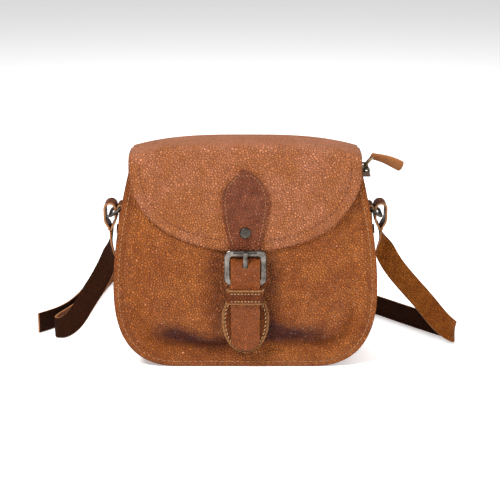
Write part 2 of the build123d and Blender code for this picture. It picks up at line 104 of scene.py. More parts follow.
SHORT_ROUTE = [
    (-118.8, 0, 117), (-118.6, 1.5, 105), (-121, 6, 88), (-131, 13, 66), (-144, 20, 45),
    (-156, 27, 23), (-168, 33.5, 12), (-178, 40.5, 10), (-176.5, 52, 10), (-168, 72, 10),
    (-160, 98, 10), (-154.5, 129, 10), (-149, 161, 10), (-144.5, 192, 10), (-138.5, 219, 11),
    (-122, 240, 13), (-108, 243.1, 14), (-87.5, 243.1, 14),
]


# ---------------------------------------------------------------- curves and surfaces

def smooth(t):
    """Smooth step from 0 to 1."""
    t = np.clip(t, 0, 1)
    return t * t * (3 - 2 * t)


def bezier(controls, count=40):
    """Cubic Bezier curve through its first and last control, as rows of points."""
    a, b, c, d = (np.array(p, float) for p in controls)
    t = np.linspace(0, 1, count)[:, None]
    return a * (1 - t) ** 3 + 3 * b * t * (1 - t) ** 2 + 3 * c * t * t * (1 - t) + d * t ** 3


def run_lengths(points):
    """Length along a polyline at each of its points."""
    return np.concatenate([[0], np.cumsum(np.linalg.norm(np.diff(points, axis=0), axis=1))])


def at_lengths(points, lengths, at):
    """Points at given lengths along a polyline whose own points lie at lengths."""
    return np.stack([np.interp(at, lengths, column) for column in points.T], axis=1)


def resample(points, count):
    """The same polyline with its points evenly spaced."""
    lengths = run_lengths(points)
    return at_lengths(points, lengths, np.linspace(0, lengths[-1], count))


def unit(rows):
    """Each row scaled to a length of one."""
    return rows / np.linalg.norm(rows, axis=1)[:, None]


def square_off(rows, along):
    """Each row turned square to the direction beside it, with a length of one."""
    return unit(rows - (rows * along).sum(1)[:, None] * along)


def grid_of(x, y, z):
    """Grid of points from coordinates that may be rows, columns or single values."""
    return np.stack(np.broadcast_arrays(x, y, z), axis=-1)


def round_square(turn, power):
    """Distance from the centre, at each angle, of a square with sides 2 long and rounded corners."""
    return (np.abs(np.cos(turn)) ** power + np.abs(np.sin(turn)) ** power) ** (-1 / power)


def rounded(points, radii, count):
    """Polyline with each inner corner replaced by a quadratic bend that starts and ends at its radius."""
    out = [np.array(points[0], float)]
    for i in range(1, len(points) - 1):
        before, corner, after = (np.array(p, float) for p in points[i - 1:i + 2])
        into = corner + (before - corner) / np.linalg.norm(before - corner) * radii[i - 1]
        away = corner + (after - corner) / np.linalg.norm(after - corner) * radii[i - 1]
        for t in np.linspace(0, 1, BEND_POINTS):
            out.append(into * (1 - t) ** 2 + 2 * corner * t * (1 - t) + away * t * t)
    out.append(np.array(points[-1], float))
    return resample(np.array(out), count)


def add_piece(name, points, faces, materials):
    """New object from points in millimetres and faces, shaded smooth."""
    mesh = bpy.data.meshes.new(name)
    mesh.from_pydata((points.reshape(-1, 3) * MM).tolist(), [], faces)
    mesh.polygons.foreach_set("use_smooth", np.ones(len(faces), bool))
    for finish in materials:
        mesh.materials.append(finish)
    mesh.update()
    piece = bpy.data.objects.new(name, mesh)
    bpy.context.scene.collection.objects.link(piece)
    return piece


def mark(piece, layer, values):
    """Keeps one number at each point of a piece, for its material to read."""
    data = piece.data.attributes.new(layer, "FLOAT", "POINT").data
    data.foreach_set("value", values.reshape(-1).astype(np.float32))


def grid_mesh(name, points, materials, facing, thick, offset=-1.0, around=False, keep=None, tone_and_painted_shade=None,
              bevel=EDGE_ROUND):
    """Leather or cloth as a grid of points, given thickness behind its outer face and a cut edge."""
    n, m = points.shape[:2]
    index = np.arange(n * m).reshape(n, m)
    if around:
        index = np.concatenate([index, index[:, :1]], axis=1)
    quads = np.stack([index[:-1, :-1], index[1:, :-1], index[1:, 1:], index[:-1, 1:]], axis=-1)
    if keep is not None:
        quads = quads[keep[:-1, :-1]]
    quads = quads.reshape(-1, 4)
    i, j = n // 2, m // 2
    down = points[min(i + 1, n - 1), j] - points[i - 1, j]
    sideways = points[i, (j + 1) % m] - points[i, j - 1]
    if np.dot(np.cross(down, sideways), facing) < 0:
        quads = quads[:, ::-1]
    piece = add_piece(name, points, quads.tolist(), materials)
    if tone_and_painted_shade is not None:
        mark(piece, "tone_and_painted_shade", np.broadcast_to(tone_and_painted_shade, (n, m)))
    solid = piece.modifiers.new("thickness", "SOLIDIFY")
    solid.thickness = thick * MM
    solid.offset = offset
    solid.material_offset_rim = 1 if len(materials) > 1 else 0
    if bevel:
        round_edge = piece.modifiers.new("edge", "BEVEL")
        round_edge.width = bevel * MM
        round_edge.segments = 2
        round_edge.limit_method = "ANGLE"
        round_edge.angle_limit = radians(50)
    return piece


def ring_quads(n, m):
    """Faces of a tube of n rings with m points each."""
    index = np.arange(n * m).reshape(n, m)
    index = np.concatenate([index, index[:, :1]], axis=1)
    corners = [index[:-1, :-1], index[:-1, 1:], index[1:, 1:], index[1:, :-1]]
    return np.stack(corners, axis=-1).reshape(-1, 4)


def loft_mesh(name, rings, materials):
    """Closed band through rings of points, with flat ends."""
    n, m = rings.shape[:2]
    ends = [list(range(m))[::-1], list(range((n - 1) * m, n * m))]
    piece = add_piece(name, rings, ring_quads(n, m).tolist() + ends, materials)
    for end in (-2, -1):
        piece.data.polygons[end].use_smooth = False
    return piece


def stitch_mesh(name, runs, facing, finish, pitch, length, thick, slant=0.0):
    """Stitches along runs of points, on leather that faces along y (facing 1) or against it (-1).

    Each stitch is a small spindle: its width follows a half circle along its length, and its two ends sink
    into the leather by a share of the thread's thickness that grows with the square of the distance from
    its middle.
    """
    rings, sides = 5, 6
    u = np.linspace(-1, 1, rings)
    a = np.linspace(0, 2 * pi, sides, endpoint=False)
    swell = np.sqrt(np.clip(1.04 - u * u, 0, 1))[:, None]
    wide = swell * np.cos(a) * thick / 2
    high = swell * (np.sin(a) * thick / 2) - STITCH_SINK * thick * (u * u)[:, None] + STITCH_RISE * thick
    vertices, faces, start = [], [], 0
    for points in runs:
        s = run_lengths(points)
        count = max(2, int(s[-1] / pitch))
        at = (np.arange(count) + 0.5) * s[-1] / count
        centre = at_lengths(points, s, at)
        along = unit(at_lengths(points, s, at + 0.5) - at_lengths(points, s, at - 0.5))
        out = square_off(np.tile((0.0, float(facing), 0.0), (count, 1)), along)
        lean = unit(along + slant * np.cross(along, out))
        across = np.cross(lean, out)
        body = (centre[:, None, None] + lean[:, None, None] * (u * length / 2)[None, :, None, None]
                + across[:, None, None] * wide[None, :, :, None]
                + out[:, None, None] * high[None, :, :, None])
        vertices.append(body.reshape(-1, 3))
        shift = (np.arange(count) * rings * sides)[:, None, None] + start
        faces.append((ring_quads(rings, sides)[None] + shift).reshape(-1, 4))
        start += count * rings * sides
    return add_piece(name, np.concatenate(vertices), np.concatenate(faces).tolist(), [finish])


# ---------------------------------------------------------------- materials

class Value:
    """A number or vector in a material, with arithmetic."""

    def __init__(self, tree, socket):
        self.tree, self.socket = tree, socket

    def node(self, kind, inputs=None, output=0, **settings):
        made = self.tree.nodes.new(kind)
        for key, value in settings.items():
            setattr(made, key, value)
        for key, value in (inputs or {}).items():
            if isinstance(value, Value):
                self.tree.links.new(value.socket, made.inputs[key])
            else:
                made.inputs[key].default_value = value
        return Value(self.tree, made.outputs[output])

    def math(self, operation, first, second=0.0):
        return self.node("ShaderNodeMath", {0: first, 1: second}, operation=operation)

    def __add__(self, other): return self.math("ADD", self, other)
    def __radd__(self, other): return self.math("ADD", other, self)
    def __sub__(self, other): return self.math("SUBTRACT", self, other)
    def __rsub__(self, other): return self.math("SUBTRACT", other, self)
    def __mul__(self, other): return self.math("MULTIPLY", self, other)
    def __rmul__(self, other): return self.math("MULTIPLY", other, self)
    def __truediv__(self, other): return self.math("DIVIDE", self, other)
    def __pow__(self, other): return self.math("POWER", self, other)

    def step(self, low, high):
        """Smoothly 0 below low and 1 above high."""
        return self.node("ShaderNodeMapRange", {0: self, 1: low, 2: high, 3: 0.0, 4: 1.0},
                         interpolation_type="SMOOTHSTEP")

    def mix(self, low, high):
        """Colour low where this is 0 and high where it is 1."""
        as_colour = [c if isinstance(c, Value) else (*c, 1.0) for c in (low, high)]
        return self.node("ShaderNodeMix", {0: self, 6: as_colour[0], 7: as_colour[1]}, 2, data_type="RGBA")


def new_material(name):
    """An empty material, its shader, and the object's own coordinates."""
    material = bpy.data.materials.new(name)
    material.use_nodes = True
    tree = material.node_tree
    shader = tree.nodes["Principled BSDF"]
    place = tree.nodes.new("ShaderNodeTexCoord")
    return material, shader, Value(tree, place.outputs["Object"])


def noise(place, size, detail=3.0, rough=0.55):
    """Noise from 0 to 1 with features of about size, in metres."""
    return place.node("ShaderNodeTexNoise", {"Vector": place, "Scale": 1 / size, "Detail": detail,
                                             "Roughness": rough})


def connect(value, socket):
    value.tree.links.new(value.socket, socket)


def leather(name, deep, mid, pale, grain=1.5, relief=0.35, rough=0.5, shine=0.24, flesh_with_painted_shade=None, shade=None):
    """Pebbled leather: cells of the grain with creases between, mottled at random as by handling and use. A
    point attribute mixes in a second colour: painted shade on the body's panels and gusset, a darker rim on
    the flap, the closure strap's own lighter colour on the patch, and pale cut edges on the tab and keeper.
    """
    material, shader, place = new_material(name)
    warp = place.node("ShaderNodeVectorMath", {0: noise_vector(place, 0.006), 1: (0.0012, 0.0012, 0.0012)},
                      operation="MULTIPLY")
    bent = place.node("ShaderNodeVectorMath", {0: place, 1: warp}, operation="ADD")
    cells = place.node("ShaderNodeTexVoronoi", {"Vector": bent, "Scale": 1 / (grain * MM)},
                       feature="DISTANCE_TO_EDGE")
    pebble = cells.step(0.0, 0.2)
    dome = cells.step(0.0, 0.5)
    fine = noise(place, 0.0005, 2.0)
    mottle = noise(place, 0.03, 4.0, 0.6)
    blotch = noise(place, 0.008, 3.0, 0.6)
    tone = (mottle * 0.75 + blotch * 0.25).step(0.36, 0.64)
    colour = tone.mix(mid, pale)
    # Darker in the creases between the grain's cells: partly the grain's own colour, partly painted shade.
    # The blotch term adds random darker tone.
    crease = (1 - pebble) * 0.6 + (1 - blotch.step(0.3, 0.6)) * 0.12
    colour = crease.mix(colour, deep)
    # Painted shade where this attribute is high on the panels and gusset. On the patch, tab and keeper it
    # mixes in the leather's own lighter colours instead.
    tone_and_painted_shade = place.node("ShaderNodeAttribute", {}, 2, attribute_name="tone_and_painted_shade")
    colour = (tone_and_painted_shade * (0.7 + 0.6 * mottle)).mix(colour, deep if shade is None else shade)
    # The strap's flesh side: its own dark colour, made darker still with painted shade.
    if flesh_with_painted_shade is not None:
        side = place.node("ShaderNodeAttribute", {}, 2, attribute_name="side")
        colour = side.step(0.4, 0.6).mix(colour, noise(place, 0.002, 4.0).mix(flesh_with_painted_shade[0], flesh_with_painted_shade[1]))
    connect(colour, shader.inputs["Base Color"])
    dull = rough + 0.22 * (1 - pebble) + 0.12 * (mottle - 0.5)
    connect(dull if flesh_with_painted_shade is None else dull + 0.3 * side.step(0.4, 0.6), shader.inputs["Roughness"])
    height = pebble * 0.45 + dome * 0.5 + fine * 0.05
    bump = place.node("ShaderNodeBump", {"Height": height, "Strength": 1.0, "Distance": 0.0016 * relief})
    connect(bump, shader.inputs["Normal"])
    shader.inputs["Specular IOR Level"].default_value = shine
    return material


def noise_vector(place, size):
    """Noise of a given size as a direction, for bending a pattern."""
    return place.node("ShaderNodeTexNoise", {"Vector": place, "Scale": 1 / size, "Detail": 1.0}, 1)


def cut_edge(name, low, high, low_z=0.045, high_z=0.11):
    """Raw cut edge: layered fibre; darker low down, partly burnished and partly painted shade, and paler
    higher up, a painted highlight as if lit from above.
    """
    material, shader, place = new_material(name)
    split = place.node("ShaderNodeSeparateXYZ", {0: place}, 2)
    fibre = noise(place, 0.0011, 5.0, 0.7)
    # Painted light by height: dark low down, pale higher up, as if the edges were lit from above.
    painted_light_by_height = (split + 0.03 * (noise(place, 0.012, 2.0) - 0.5)).step(low_z, high_z)
    colour = painted_light_by_height.mix(low, high)
    dark = tuple(c * 0.35 for c in low)
    connect((fibre.step(0.3, 0.7) * 0.7 + 0.3).mix(dark, colour), shader.inputs["Base Color"])
    bump = place.node("ShaderNodeBump", {"Height": fibre, "Strength": 0.5, "Distance": 0.0004})
    connect(bump, shader.inputs["Normal"])
    shader.inputs["Roughness"].default_value = 0.75
    return material


def metal(name, dark, bright, rough=0.4):
    """Antiqued metal: dark, rubbed brighter in random patches, finely pitted."""
    material, shader, place = new_material(name)
    patch = noise(place, 0.009, 3.0, 0.55)
    pits = noise(place, 0.0006, 3.0, 0.7)
    rub = (patch * 0.75 + pits * 0.25).step(0.25, 0.72)
    connect(rub.mix(dark, bright), shader.inputs["Base Color"])
    connect(rough + 0.25 * (1 - rub), shader.inputs["Roughness"])
    bump = place.node("ShaderNodeBump", {"Height": pits, "Strength": 0.25, "Distance": 0.0002})
    connect(bump, shader.inputs["Normal"])
    shader.inputs["Metallic"].default_value = 1.0
    return material


def thread(name, colour, twist=0.0009):
    """Waxed thread with a fine twist."""
    material, shader, place = new_material(name)
    ply = noise(place, twist, 3.0, 0.7)
    dark = tuple(c * 0.45 for c in colour)
    connect(ply.step(0.3, 0.7).mix(dark, colour), shader.inputs["Base Color"])
    bump = place.node("ShaderNodeBump", {"Height": ply, "Strength": 0.4, "Distance": 0.0002})
    connect(bump, shader.inputs["Normal"])
    shader.inputs["Roughness"].default_value = 0.7
    return material


def cloth(name, colour, pitch=0.0007):
    """Plain woven cloth: two crossing sets of yarns."""
    material, shader, place = new_material(name)
    yarns = None
    for axis in (0, 1, 2):
        part = place.node("ShaderNodeSeparateXYZ", {0: place}, axis)
        wave = place.math("SINE", part * (2 * pi / pitch))
        yarns = wave if yarns is None else yarns + wave
    weave = yarns * 0.2 + 0.5
    dark = tuple(c * 0.5 for c in colour)
    mix = weave * 0.6 + noise(place, 0.01, 3.0) * 0.4
    connect(mix.mix(dark, colour), shader.inputs["Base Color"])
    bump = place.node("ShaderNodeBump", {"Height": weave, "Strength": 0.3, "Distance": 0.0003})
    connect(bump, shader.inputs["Normal"])
    shader.inputs["Roughness"].default_value = 0.85
    return material


# Colour of the painted shade in the body leather: in the fold above the bottom seam, along the seam groove
# and rim, beside the closure and on the gusset's flanges.
SEAM_SHADE = (0.07, 0.009, 0.001)
MATERIALS = {
    "body": lambda: leather("body_leather", (0.10, 0.016, 0.002), (0.37, 0.095, 0.013), (0.50, 0.150, 0.027),
                            grain=2.1, relief=1.5, rough=0.3, shine=0.22,
                            shade=SEAM_SHADE),
    "flap": lambda: leather("flap_leather", (0.16, 0.035, 0.008), (0.47, 0.150, 0.038), (0.55, 0.195, 0.085),
                            grain=2.1, relief=1.4, rough=0.31, shade=(0.12, 0.025, 0.008)),
    "patch": lambda: leather("patch_leather", (0.08, 0.016, 0.006), (0.23, 0.053, 0.017),
                             (0.35, 0.097, 0.036),
                             grain=1.9, relief=1.8, rough=0.32, shade=(0.35, 0.085, 0.010)),
    "tab": lambda: leather("tab_leather", (0.06, 0.011, 0.002), (0.20, 0.046, 0.007), (0.29, 0.078, 0.013),
                           grain=1.9, relief=1.8, rough=0.36, shine=0.15,
                           shade=(0.47, 0.22, 0.08)),
    # The strap's flesh-side colours are near black: the flesh side's own colour with painted shade in it.
    "strap": lambda: leather("strap_leather", (0.07, 0.014, 0.001), (0.30, 0.075, 0.007),
                             (0.44, 0.130, 0.016),
                             grain=1.9, relief=2.0, rough=0.38,
                             shine=0.05, flesh_with_painted_shade=((0.018, 0.0034, 0.0005), (0.055, 0.013, 0.0022))),
    "pull": lambda: leather("pull_leather", (0.16, 0.04, 0.010), (0.38, 0.13, 0.030), (0.50, 0.19, 0.055),
                            grain=0.9, relief=0.4, rough=0.5),
    # Cut edges: colours from low down to higher up, the change between them being painted light by height.
    "edge": lambda: cut_edge("raw_edge", (0.11, 0.025, 0.006), (0.52, 0.27, 0.11)),
    "pale_edge": lambda: cut_edge("pale_edge", (0.46, 0.21, 0.075), (0.50, 0.24, 0.09)),
    "strap_edge": lambda: cut_edge("strap_edge", (0.34, 0.13, 0.035), (0.46, 0.2, 0.07)),
    "silver": lambda: metal("antique_metal", (0.03, 0.025, 0.021), (0.22, 0.193, 0.17), rough=0.2),
    "dark_metal": lambda: metal("dark_metal", (0.02, 0.017, 0.014), (0.11, 0.096, 0.08), rough=0.3),
    "zip_metal": lambda: metal("zip_metal", (0.05, 0.035, 0.02), (0.34, 0.25, 0.16)),
    "brown_thread": lambda: thread("brown_thread", (0.42, 0.19, 0.075)),
    "flap_thread": lambda: thread("flap_thread_wax", (0.16, 0.04, 0.015)),
    "cream_thread": lambda: thread("cream_thread", (0.62, 0.40, 0.20)),
    "tape": lambda: cloth("zip_tape_cloth", (0.12, 0.06, 0.03)),
    "cloth": lambda: cloth("lining_cloth", (0.42, 0.30, 0.19)),
}
made_materials = {}


def material(key):
    """The named material, made once."""
    if key not in made_materials:
        made_materials[key] = MATERIALS[key]()
    return made_materials[key]


def finish_piece(piece, body, nodes):
    """Puts a new piece on its body in place of its CAD nodes."""
    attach(piece, body)
    if nodes:
        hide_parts(*nodes)
    return piece


# ---------------------------------------------------------------- shapes of the bag

def body_side(inset, top, count=50):
    """Right edge of the body from the flat base's corner up, as x and z; the left edge mirrors it."""
    w, t = HALF_WIDTH - inset, TOP_HALF - inset
    low = bezier([(BASE_FLAT, inset), (96 - 0.5 * inset, inset), (w, 23 + 0.5 * inset), (w, BELLY_Z)], count)
    high = bezier([(w, BELLY_Z), (w, 112), (t + 4, 160), (t, top)], count)
    return np.vstack([low, high[1:]])


def body_loop(inset, top, count):
    """The whole edge from the left top round the base to the right top, evenly spaced."""
    right = body_side(inset, top)
    left = right[::-1] * (-1, 1)
    return resample(np.vstack([left, right]), count)


def edge_distance(x, z):
    """Distance in millimetres from points of a panel to its sewn edge."""
    loop = body_loop(0, PANEL_TOP, 260)
    flat = np.stack([x.ravel(), z.ravel()], axis=1)
    gap = np.empty(len(flat))
    for start in range(0, len(flat), 4000):
        part = flat[start:start + 4000]
        gap[start:start + 4000] = np.sqrt(((part[:, None] - loop[None]) ** 2).sum(-1)).min(1)
    return gap.reshape(x.shape)


def fullness(x, z, d, front):
    """How far a panel stands out, from its height z and its distance d from the sewn edge.

    A belly rises smoothly from the seam; a crease shaped like a bell curve runs 17.5 mm inside the seam and
    is deepest at the bottom; two products of sines add soft waves; the front is held in behind the closure.
    """
    shape = bpy.context.scene.sling_bag_shape
    top_fade = smooth((PANEL_TOP - 14 - z) / 45)
    belly = (shape.belly / MM if front else 3.4) * smooth((d - 17) / 24) * top_fade
    low = smooth((78 - z) / 40)
    crease = -(0.8 + shape.crease / MM * low) * np.exp(-((d - 17.5) / 5.0) ** 2) * smooth((150 - z) / 30)
    waves = 0.28 * np.sin(x / 17 + z / 31) * np.sin(z / 23 - x / 47 + 1.3)
    waves += 0.12 * np.sin(x / 7.3 + 2.1 * np.sin(z / 19))
    out = belly + crease + waves * smooth((d - 9) / 12)
    if front:
        out *= 1 - 0.5 * np.exp(-(x / 26) ** 2) * smooth((z - 12) / 20) * smooth((118 - z) / 40)
        out *= 1 - 0.3 * np.exp(-((x / 15) ** 2 + ((z - 44) / 15) ** 2))
        out = np.minimum(out, 4.6)
    return out


def panel_point(x, z, sign):
    """Outer face of the front or back panel at x and z."""
    out = fullness(x, z, edge_distance(x, z), sign < 0)
    face = FRONT_Y if sign < 0 else BACK_Y
    return np.stack([x, face + sign * out, z], axis=-1)


def drape(points):
    """The flap's droop: its corners fall at the top and its sides swing in towards the body."""
    x, y, z = (points[..., i].copy() for i in range(3))
    reach = np.abs(x) / DROOP_HALF
    at_top = smooth((z - 138) / 58)
    droop = bpy.context.scene.sling_bag_shape.droop / MM
    z -= droop * reach ** 3 * at_top + 4.2 * smooth((y + 10) / 34) * smooth((z - 150) / 40)
    front = smooth((10 - y) / 40)
    ripple = 0.5 * np.sin(x / 21 + z / 37) * smooth((190 - z) / 20) * smooth((z - 112) / 10)
    y += front * (2.2 * reach ** 2 + ripple * np.minimum(reach * 3, 1))
    return np.stack([x, y, z], axis=-1)


def flap_edge(inset, count):
    """The flap's front outline from its right top corner to the tip, as x and z."""
    if inset:
        return bezier([(FLAP_HALF - inset, 188), (88.5, 137), (60, 120), (0, FLAP_DROP + inset)], count)
    return bezier([(FLAP_HALF, 185), (98, 134), (66, 111), (0, FLAP_DROP)], count)


def make_panels():
    """Front and back panels and the seam stitches round both."""
    rows, cols = 190, 150
    side = resample(body_side(0, PANEL_TOP), rows)
    u = np.linspace(-1, 1, cols)
    x = side[:, :1] * u
    z = np.repeat(side[:, 1:], cols, axis=1)
    d = edge_distance(x, z)
    # Painted shade in a band along the fold above the bottom seam, where the belly overhangs the crease; band
    # is its height.
    band = 30 - 8 * np.exp(-((x + 28) / 24) ** 2) + 1.5 * np.sin(x / 15)
    fold = np.exp(-((z - band) / 9.5) ** 2) * smooth((92 - np.abs(x)) / 34)
    fold *= 0.88 + 0.18 * np.sin(x / 15 + 0.4)
    # Painted shade along the seam groove and at the very rim, where the surface turns away from the light.
    edge = 0.3 * np.exp(-((d - 7.5) / 2.0) ** 2) * smooth((z - 9) / 12) + 0.55 * np.exp(-(d / 0.9) ** 2)
    # Painted shadow of the closure on the front panel, either side of it; it stays when the closure lifts.
    beside = np.exp(-((np.abs(x) - 24) / 9) ** 2) * smooth((z - 25) / 20) * smooth((112 - z) / 15)
    for sign, name in ((-1, "front_panel"), (1, "back_panel")):
        # All three are painted shade, mixed in through the point attribute. The back panel gets the fold at
        # less strength and nothing beside the closure.
        shade = 1.2 * fold + edge + 0.45 * beside if sign < 0 else 0.6 * fold + edge
        piece = grid_mesh(name + "_leather", panel_point(x, z, sign), [material("body"), material("edge")],
                          (0, sign, 0), PANEL_THICK, tone_and_painted_shade=shade)
        finish_piece(piece, "bag", [name])
    for sign, name in ((-1, "front_seam_thread"), (1, "back_seam_thread")):
        loop = body_loop(SEAM_INSET, 168, 500)
        points = panel_point(loop[:, 0], loop[:, 1], sign) + (0, sign * 0.1, 0)
        piece = stitch_mesh(name + "_stitches", [points], sign, material("brown_thread"), 4.6, 3.5, 0.85)
        finish_piece(piece, "bag", [name])


def across_loops(profile, top, count):
    """Grid from a profile of y and inset: at each of its points a loop round the body's edge."""
    columns = []
    for y, inset in profile:
        loop = body_loop(inset, top, count)
        columns.append(grid_of(loop[:, 0], y, loop[:, 1]))
    return np.stack(columns, axis=1)


def make_gusset():
    """The strip between the panels, its long edges turned out against them."""
    across = [(-31.0, 0.25), (-31.0, 1.6), (-31.0, 3.2), (-30.9, 4.1), (-30.4, 4.8), (-29.4, 5.1), (-26, 5.3)]
    middle = [(y, 5.3 + 1.1 * (1 - (y / 26) ** 2)) for y in np.linspace(-22, 22, 13)]
    points = across_loops(across + middle + [(-y, inset) for y, inset in across[::-1]], GUSSET_TOP, 260)
    x, y, z = (points[..., k] for k in range(3))
    rumple = 0.35 * np.sin(z / 9 + y / 13) * np.sin(z / 23)
    inner = smooth((28 - np.abs(y)) / 12) * smooth((z - 12) / 20)
    # Painted shade on the gusset's flanges, where it turns out against the panels.
    tone_and_painted_shade = 0.35 * smooth((np.abs(y) - 24) / 6)
    x += np.sign(x) * rumple * inner
    piece = grid_mesh("gusset_leather", points, [material("body"), material("edge")], (0, 0, -1), PANEL_THICK,
                      tone_and_painted_shade=tone_and_painted_shade)
    finish_piece(piece, "bag", ["gusset"])


def make_lining():
    """Cloth bag inside the leather, open at the top, and the slip pocket sewn to its back."""
    profile = [(-28.6, 30), (-28.6, 9.5), (-27.5, 8.7), (27.5, 8.7), (28.6, 9.5), (28.6, 30)]
    points = across_loops(profile, LINING_TOP, 120)
    rim = grid_mesh("lining_sides", points, [material("cloth")], (0, 0, -1), CLOTH_THICK)
    finish_piece(rim, "bag", ["lining"])
    side = resample(body_side(9.0, LINING_TOP), 60)
    u = np.linspace(-1, 1, 30)
    for y, name in ((-28.7, "lining_front"), (28.7, "lining_back")):
        points = grid_of(side[:, :1] * u, y, side[:, 1:])
        panel = grid_mesh(name, points, [material("cloth")], (0, np.sign(y), 0), CLOTH_THICK)
        finish_piece(panel, "bag", [])
    x, z = np.meshgrid(np.linspace(-62, 62, 40), np.linspace(55, 138, 30))
    sag = 0.5 * smooth((z - 100) / 38) * (1 - (x / 62) ** 2)
    pocket = grid_mesh("slip_pocket_cloth", grid_of(x, 27.9 - sag, z), [material("cloth")], (0, -1, 0),
                       CLOTH_THICK)
    finish_piece(pocket, "bag", ["slip_pocket"])


def make_flap():
    """The flap: one piece from the strip sewn behind, rolled over the top, down to its curved front edge."""
    corners = [(FLAP_BACK, 148), (FLAP_BACK, FLAP_TOP), (FLAP_FRONT, FLAP_TOP), (FLAP_FRONT, 184)]
    path = rounded(corners, [11.5, 12.0], 90)
    half = np.interp(path[:, 1], [148, 178, 190, 200], [98.5, 98.5, 98.8, FLAP_HALF])
    half[path[:, 0] < 0] = FLAP_HALF
    outline = resample(flap_edge(0, 300), 110)[1:-1]
    y = np.concatenate([path[:, 0], np.full(len(outline), FLAP_FRONT)])
    z = np.concatenate([path[:, 1], outline[:, 1]])
    half = np.concatenate([half, outline[:, 0]])
    u = np.linspace(-1, 1, 150)
    x = half[:, None] * u
    points = grid_of(x, y[:, None], z[:, None])
    rim = (1 - np.abs(u)[None]) * half[:, None]
    low_edge = flap_edge(0, 200)[::-1]
    low_rim = np.interp(np.abs(x), low_edge[:, 0], low_edge[:, 1])
    rim = np.where(y[:, None] < 0, np.minimum(rim, np.maximum(points[..., 2] - low_rim, 0)), rim)
    # Darker within about a millimetre of the flap's cut edges.
    tone_and_painted_shade = 0.5 * np.exp(-(rim / 1.3) ** 2)
    points = drape(points)
    front = smooth((10 - points[..., 1]) / 40)
    points[..., 1] -= front * 0.2 * np.exp(-((rim - 13) / 5) ** 2)
    piece = grid_mesh("flap_leather_sheet", points, [material("flap"), material("edge")], (0, -1, 0.2),
                      PANEL_THICK, tone_and_painted_shade=tone_and_painted_shade)
    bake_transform(piece)
    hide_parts("flap", "flap_back_strip")
    edge = flap_edge(9, 200)
    edge = np.vstack([edge, (edge[::-1] * (-1, 1))[1:]])
    clear = np.abs(edge[:, 0]) > 15.5
    runs = []
    for part in (edge[clear & (edge[:, 0] > 0)], edge[clear & (edge[:, 0] < 0)]):
        runs.append(drape(grid_of(part[:, 0], FLAP_FRONT - 0.2, part[:, 1])))
    stitches = stitch_mesh("flap_stitches", runs, -1, material("flap_thread"), 4.0, 3.0, 0.7)
    finish_piece(stitches, "flap", ["flap_thread"])


def leaf_half(z, inset=0.0):
    """Half width of the leaf patch and the strap below it at height z."""
    upper = bezier([(0, 180), (7, 176), (19.5, 169), (20.2, 153)])
    lower = bezier([(20.2, 153), (20.6, 140), (16, 123), (12.6, 107.4)])
    outline = np.vstack([upper, lower[1:], [(12.4, 30)]])
    foot = bezier([(12.4, 30), (12.4, 22.5), (7.5, 18.4), (0, 18.4)])
    outline = np.vstack([outline, foot[1:]])
    return np.maximum(np.interp(z, outline[::-1, 1], outline[::-1, 0]) - inset, 0)


def make_patch():
    """Leaf patch and closure strap in one piece, with the patch's stitches."""
    corners = [(-42.95, 180), (-42.95, 104.0), (-50.9, 98.5), (-49.3, 87), (-49.3, 58), (-44.7, 47),
               (-44.7, 18.4)]
    path = rounded(corners, [3, 4, 5, 7, 7], 300)
    lengths = run_lengths(path)
    tip = np.linspace(0, 1, 14) ** 2 * 6
    at = np.concatenate([tip, np.arange(7, lengths[-1] - 7, 1.0), lengths[-1] - tip[::-1]])
    path = at_lengths(path, lengths, at)[1:-1]
    u = np.concatenate([np.linspace(-1, -0.2, 14), [0.0], np.linspace(0.2, 1, 14)])
    half = leaf_half(path[:, 1])
    x = half[:, None] * u
    shape = x.shape
    points = grid_of(x, path[:, :1], path[:, 1:])
    points[..., 1] += 0.25 * np.sin(path[:, 1:] / 9.0) * (np.abs(u) ** 2)
    at_hole = (path[:, 1] > 95.5) & (path[:, 1] < 99.5)
    keep = ~(at_hole[:, None] & (np.abs(u)[None] < 0.19))
    keep[:, np.argmin(np.abs(u + 0.2))] &= ~at_hole
    tone_and_painted_shade = np.broadcast_to(smooth((112 - path[:, 1:]) / 10) * 0.62, shape) + 0.15 * (np.abs(u) > 0.9)
    piece = grid_mesh("patch_and_strap", drape(points), [material("patch"), material("pale_edge")],
                      (0, -1, 0), 1.7, offset=0.0, keep=keep, tone_and_painted_shade=tone_and_painted_shade)
    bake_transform(piece)
    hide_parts("leaf_patch", "closure_strap")
    z = np.linspace(113, 174.5, 160)
    right = grid_of(leaf_half(z, 3.0), -43.85, z)
    points = drape(np.vstack([right, right[::-1] * (-1, 1, 1)]))
    stitches = stitch_mesh("patch_stitches", [points], -1, material("brown_thread"), 3.4, 2.5, 0.7,
                           slant=0.25)
    finish_piece(stitches, "flap", ["patch_thread"])


def pear_half(z, inset=0.0):
    """Half width of the pear-shaped base tab at height z."""
    low = bezier([(0, 15.6), (12, 15.6), (20.7, 30), (20.7, 46)])
    high = bezier([(20.7, 46), (20.7, 58), (14, 66), (12.2, 76)])
    outline = np.vstack([low, high[1:]])
    return np.maximum(np.interp(z, outline[:, 1], outline[:, 0]) - inset, 0)


